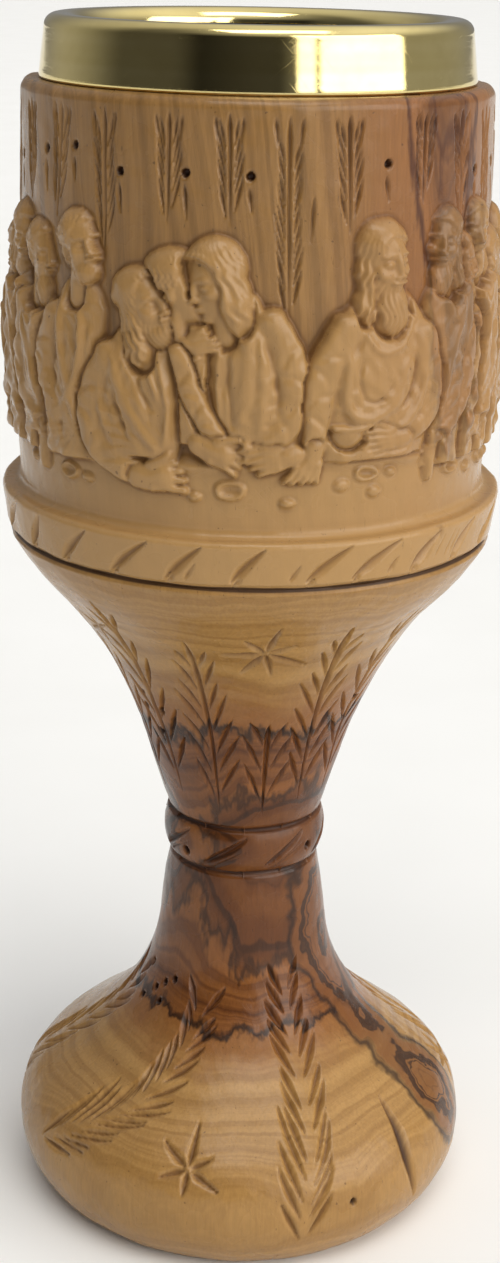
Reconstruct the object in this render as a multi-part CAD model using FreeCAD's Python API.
"""Communion chalice turned and carved from olive wood, with a loose spun-metal cup.

Three pieces:
  cup_liner      polished sheet-metal cup; its lip rolls outward into a deep skirt that sits on the wood
  bowl_barrel    bored wooden barrel with a frieze of seated figures, a table band and a rope-cut belt
  stem_and_foot  flared stem, rope-cut neck ring and domed foot in one turning, with a tenon on top
The tenon is glued into a mortise under the barrel, and a V-groove hides the glue line. The liner
lifts straight out for washing.

Millimetres. +Z is up, and the origin is the centre of the foot's flat underside. Angles round the
chalice are measured from the front (-Y) towards the right (+X).
"""
import FreeCAD
import Part
import math
import os

from FreeCAD import Vector

# Driving dimensions
TOTAL_H = 200.0
FOOT_R = 39.6
BELT_R = 40.3
BARREL_R_LOW = 37.4
BARREL_R_TOP = 36.3
RIM_H = 9.4
SEAM_Z = 120.8

# Barrel
BARREL_TOP_Z = TOTAL_H - RIM_H
BARREL_SHOULDER = 1.6
BELT_TOP_Z = SEAM_Z + 7.4
BELT_R_LOW = BELT_R - 0.8
BELT_EDGE = 0.9
SEAM_GROOVE = 0.9
BORE_R = 29.2
BORE_FLOOR_Z = 140.0
LEDGE_FILLET = 1.2

# Stem and foot
FOOT_BULGE_Z = 10.8
FOOT_BASE_R = 34.0
NECK_Z = (61.8, 70.0)
NECK_GROOVE_R = 12.6
NECK_RING_R = 13.8
TENON_R = 9.95
TENON_LEN = 12.0
TENON_CHAMFER = 0.8
MORTISE_R = 10.0
MORTISE_SPARE = 0.4
# Radius and height where the sweep from the foot up to the neck ring is gauged
FOOT_SWEEP = [(30.0, 24.7), (26.2, 27.8), (21.8, 31.9), (18.7, 36.1), (15.0, 45.4), (13.7, 55.6)]
# The same for the flare from the neck ring up to the seam
FLARE = [(15.3, 77.3), (18.1, 86.5), (22.6, 96.8), (29.2, 107.1), (36.2, 115.4)]

# Liner
SHEET = 0.8
SKIRT_R = 33.6
SKIRT_TAPER = 0.9
LIP_ROUND_OUT = 2.0
LIP_ROUND_IN = 2.6
LIP_LAND = 1.0
NECK_DROP = 5.0
CUP_R = 28.4
CUP_FLOOR_Z = 141.0
CUP_CORNER = 12.0

# Rope cuts: slanted round-bottomed grooves
BELT_CUTS = 18
BELT_CUT_R = 2.2
BELT_CUT_DEPTH = 0.7
NECK_CUTS = 7
NECK_CUT_R = 1.4
NECK_CUT_DEPTH = 0.5
ROPE_SLANT = 42.0
NECK_SLANT = 68.0

# Frieze: each figure's angle, the height of its head's centre, and half its width along the wall
FIGURES = [
    (-62.0, 168.0, 5.0),
    (-53.5, 167.0, 5.5),
    (-43.5, 167.0, 7.0),
    (-25.0, 160.0, 7.5),
    (-17.0, 165.0, 6.5),
    (-8.0, 165.5, 8.0),
    (29.0, 166.5, 10.0),
    (45.7, 170.0, 5.5),
    (52.3, 167.0, 5.5),
    (59.4, 173.5, 5.0),
    (70.0, 166.0, 6.0),
    (79.5, 168.0, 6.0),
    (90.0, 165.0, 7.5),
]
HEAD_R = 5.0
FRIEZE_R = 40.1
ROBE_R = 39.4
ROBE_TAPER = 0.6
TABLE_Z = 139.0
NECKLINE = 6.5
FRIEZE_ROOT_R = 33.0


def at(angle, radius, z):
    """The point at an angle from the front, a radius and a height."""
    a = math.radians(angle)
    return Vector(radius * math.sin(a), -radius * math.cos(a), z)


def rz(radius, z):
    """A point of an outline, in the plane that is turned about the axis."""
    return Vector(radius, 0, z)


def line(a, b):
    return Part.LineSegment(a, b).toShape()


def arc(a, middle, b):
    return Part.Arc(a, middle, b).toShape()


def round_corner(centre, radius, start_deg, end_deg):
    """An arc of an outline, from one direction to another about a centre."""
    p = [
        rz(centre[0] + radius * math.cos(math.radians(t)), centre[1] + radius * math.sin(math.radians(t)))
        for t in (start_deg, (start_deg + end_deg) / 2, end_deg)
    ]
    return arc(*p)


def sweep(points, start_tangent=None, end_tangent=None):
    """A smooth curve of an outline through gauge points."""
    curve = Part.BSplineCurve()
    if start_tangent is None:
        curve.interpolate(Points=points)
    else:
        curve.interpolate(Points=points, InitialTangent=start_tangent, FinalTangent=end_tangent)
    return curve.toShape()


def turned(edges):
    """The solid made by turning a closed outline about Z."""
    face = Part.Face(Part.Wire(Part.__sortEdges__(edges)))
    solid = face.revolve(Vector(0, 0, 0), Vector(0, 0, 1), 360)
    return Part.Solid(solid) if solid.ShapeType != "Solid" else solid


def slanted_cut(angle, surface_r, z, radius, depth, slant, length):
    """A round rod that cuts a groove of that depth across a surface, leaning from upright by slant."""
    rod = Part.makeCylinder(radius, length, Vector(0, 0, -length / 2), Vector(0, 0, 1))
    rod.rotate(Vector(0, 0, 0), Vector(0, 1, 0), slant)
    rod.translate(Vector(0, -(surface_r + radius - depth), z))
    rod.rotate(Vector(0, 0, 0), Vector(0, 0, 1), angle)
    return rod


def make_stem():
    bulge = [rz(FOOT_BASE_R, 0), rz(FOOT_R, FOOT_BULGE_Z), rz(FOOT_BASE_R, 2 * FOOT_BULGE_Z)]
    foot_arc = Part.Arc(*bulge)
    leaving = foot_arc.tangent(foot_arc.LastParameter)[0]
    low, high = NECK_Z
    middle = (low + high) / 2
    neck_top = rz(NECK_GROOVE_R + 0.4, high)
    seam_edge = rz(BELT_R_LOW - SEAM_GROOVE, SEAM_Z)
    flare_top = rz(BELT_R_LOW - 0.4, SEAM_Z - SEAM_GROOVE)
    foot_points = [bulge[2]] + [rz(*p) for p in FOOT_SWEEP] + [rz(NECK_GROOVE_R, low)]
    flare_points = [neck_top] + [rz(*p) for p in FLARE] + [flare_top]
    tenon_top = SEAM_Z + TENON_LEN
    edges = [
        line(rz(0, 0), bulge[0]),
        foot_arc.toShape(),
        sweep(foot_points, leaving, Vector(-0.35, 0, 1)),
        arc(rz(NECK_GROOVE_R, low), rz(NECK_RING_R, middle), neck_top),
        sweep(flare_points, Vector(0.9, 0, 1), Vector(0.5, 0, 1)),
        line(flare_top, seam_edge),
        line(seam_edge, rz(TENON_R, SEAM_Z)),
        line(rz(TENON_R, SEAM_Z), rz(TENON_R, tenon_top - TENON_CHAMFER)),
        line(rz(TENON_R, tenon_top - TENON_CHAMFER), rz(TENON_R - TENON_CHAMFER, tenon_top)),
        line(rz(TENON_R - TENON_CHAMFER, tenon_top), rz(0, tenon_top)),
        line(rz(0, tenon_top), rz(0, 0)),
    ]
    stem = turned(edges)
    cuts = [
        slanted_cut(360 * i / NECK_CUTS, NECK_RING_R, middle, NECK_CUT_R, NECK_CUT_DEPTH, NECK_SLANT, 14)
        for i in range(NECK_CUTS)
    ]
    return stem.cut(cuts)


def barrel_radius(z):
    """The barrel's plain wall, which narrows a little towards the top."""
    share = (z - BELT_TOP_Z) / (BARREL_TOP_Z - BELT_TOP_Z)
    return BARREL_R_LOW + share * (BARREL_R_TOP - BARREL_R_LOW)


def make_figures():
    """Heads and robes as plain lumps, trimmed to the depth of the carving."""
    lumps = []
    for angle, head_z, half_width in FIGURES:
        head_at = at(angle, FRIEZE_R - HEAD_R, head_z)
        lumps.append(Part.makeSphere(HEAD_R, head_at))
        robe_top = head_z - NECKLINE
        wall = barrel_radius(robe_top)
        spread = half_width / wall
        # The round robe leaves the wall at half_width either side and stands out to ROBE_R
        centre = (wall**2 - ROBE_R**2) / (2 * (wall * math.cos(spread) - ROBE_R))
        radius = ROBE_R - centre
        base = at(angle, centre, TABLE_Z)
        height = robe_top - TABLE_Z
        lumps.append(Part.makeCone(radius, radius - ROBE_TAPER, height, base, Vector(0, 0, 1)))
    fused = lumps[0].multiFuse(lumps[1:])
    height = max(z for _, z, _ in FIGURES) + HEAD_R - TABLE_Z
    band = Part.makeCylinder(FRIEZE_R, height, Vector(0, 0, TABLE_Z))
    core = Part.makeCylinder(FRIEZE_ROOT_R, height, Vector(0, 0, TABLE_Z))
    return fused.common(band.cut(core))


def make_barrel():
    groove_in = rz(BELT_R_LOW - SEAM_GROOVE, SEAM_Z)
    groove_out = rz(BELT_R_LOW, SEAM_Z + SEAM_GROOVE)
    edge = (BELT_R - BELT_EDGE, BELT_TOP_Z - BELT_EDGE)
    cove = (BARREL_R_LOW + LEDGE_FILLET, BELT_TOP_Z + LEDGE_FILLET)
    shoulder = (BARREL_R_TOP - BARREL_SHOULDER, BARREL_TOP_Z - BARREL_SHOULDER)
    mortise_top = SEAM_Z + TENON_LEN + MORTISE_SPARE
    edges = [
        line(rz(MORTISE_R, SEAM_Z), groove_in),
        line(groove_in, groove_out),
        line(groove_out, rz(BELT_R, edge[1])),
        round_corner(edge, BELT_EDGE, 0, 90),
        line(rz(edge[0], BELT_TOP_Z), rz(cove[0], BELT_TOP_Z)),
        round_corner(cove, LEDGE_FILLET, 270, 180),
        line(rz(BARREL_R_LOW, cove[1]), rz(BARREL_R_TOP, shoulder[1])),
        round_corner(shoulder, BARREL_SHOULDER, 0, 90),
        line(rz(shoulder[0], BARREL_TOP_Z), rz(BORE_R, BARREL_TOP_Z)),
        line(rz(BORE_R, BARREL_TOP_Z), rz(BORE_R, BORE_FLOOR_Z)),
        line(rz(BORE_R, BORE_FLOOR_Z), rz(0, BORE_FLOOR_Z)),
        line(rz(0, BORE_FLOOR_Z), rz(0, mortise_top)),
        line(rz(0, mortise_top), rz(MORTISE_R, mortise_top)),
        line(rz(MORTISE_R, mortise_top), rz(MORTISE_R, SEAM_Z)),
    ]
    barrel = turned(edges).fuse(make_figures())
    cuts = [
        slanted_cut(360 * i / BELT_CUTS, BELT_R_LOW, SEAM_Z, BELT_CUT_R, BELT_CUT_DEPTH, ROPE_SLANT, 17)
        for i in range(BELT_CUTS)
    ]
    barrel = barrel.cut(cuts)
    return barrel.removeSplitter()


def liner_outline(inset):
    """The sheet's outline at a depth below its outer, polished face: skirt, lip, wall and floor."""
    skirt_top_r = SKIRT_R - SKIRT_TAPER - inset
    lip_out = (SKIRT_R - SKIRT_TAPER - LIP_ROUND_OUT, TOTAL_H - LIP_ROUND_OUT)
    lip_in = (lip_out[0] - LIP_LAND, TOTAL_H - LIP_ROUND_IN)
    out_r = LIP_ROUND_OUT - inset
    in_r = LIP_ROUND_IN - inset
    wall_r = CUP_R - SHEET + inset
    corner = (CUP_R - CUP_CORNER, CUP_FLOOR_Z + CUP_CORNER)
    corner_r = CUP_CORNER - SHEET + inset
    skirt_bottom = rz(SKIRT_R - inset, BARREL_TOP_Z)
    mouth = rz(lip_in[0] - in_r, lip_in[1])
    wall_top = rz(wall_r, lip_in[1] - NECK_DROP)
    floor_centre = rz(0, corner[1] - corner_r)
    edges = [
        line(skirt_bottom, rz(skirt_top_r, lip_out[1])),
        round_corner(lip_out, out_r, 0, 90),
        line(rz(lip_out[0], TOTAL_H - inset), rz(lip_in[0], TOTAL_H - inset)),
        round_corner(lip_in, in_r, 90, 180),
        line(mouth, wall_top),
        line(wall_top, rz(wall_r, corner[1])),
        round_corner(corner, corner_r, 0, -90),
        line(rz(corner[0], corner[1] - corner_r), floor_centre),
    ]
    return edges, skirt_bottom, floor_centre


def make_liner():
    face_edges, face_skirt, face_floor = liner_outline(0.0)
    back_edges, back_skirt, back_floor = liner_outline(SHEET)
    return turned(face_edges + back_edges + [line(face_skirt, back_skirt), line(face_floor, back_floor)])


def main():
    os.makedirs("parts", exist_ok=True)
    pieces = {
        "stem_and_foot": make_stem(),
        "carved_bowl": make_barrel(),
        "cup_liner": make_liner(),
    }
    for name, shape in pieces.items():
        shape.exportStep(f"parts/{name}.step")
        print(name, shape.isValid(), len(shape.Solids), round(shape.Volume / 1000, 2), "cm3", len(shape.Faces), "faces")


main()
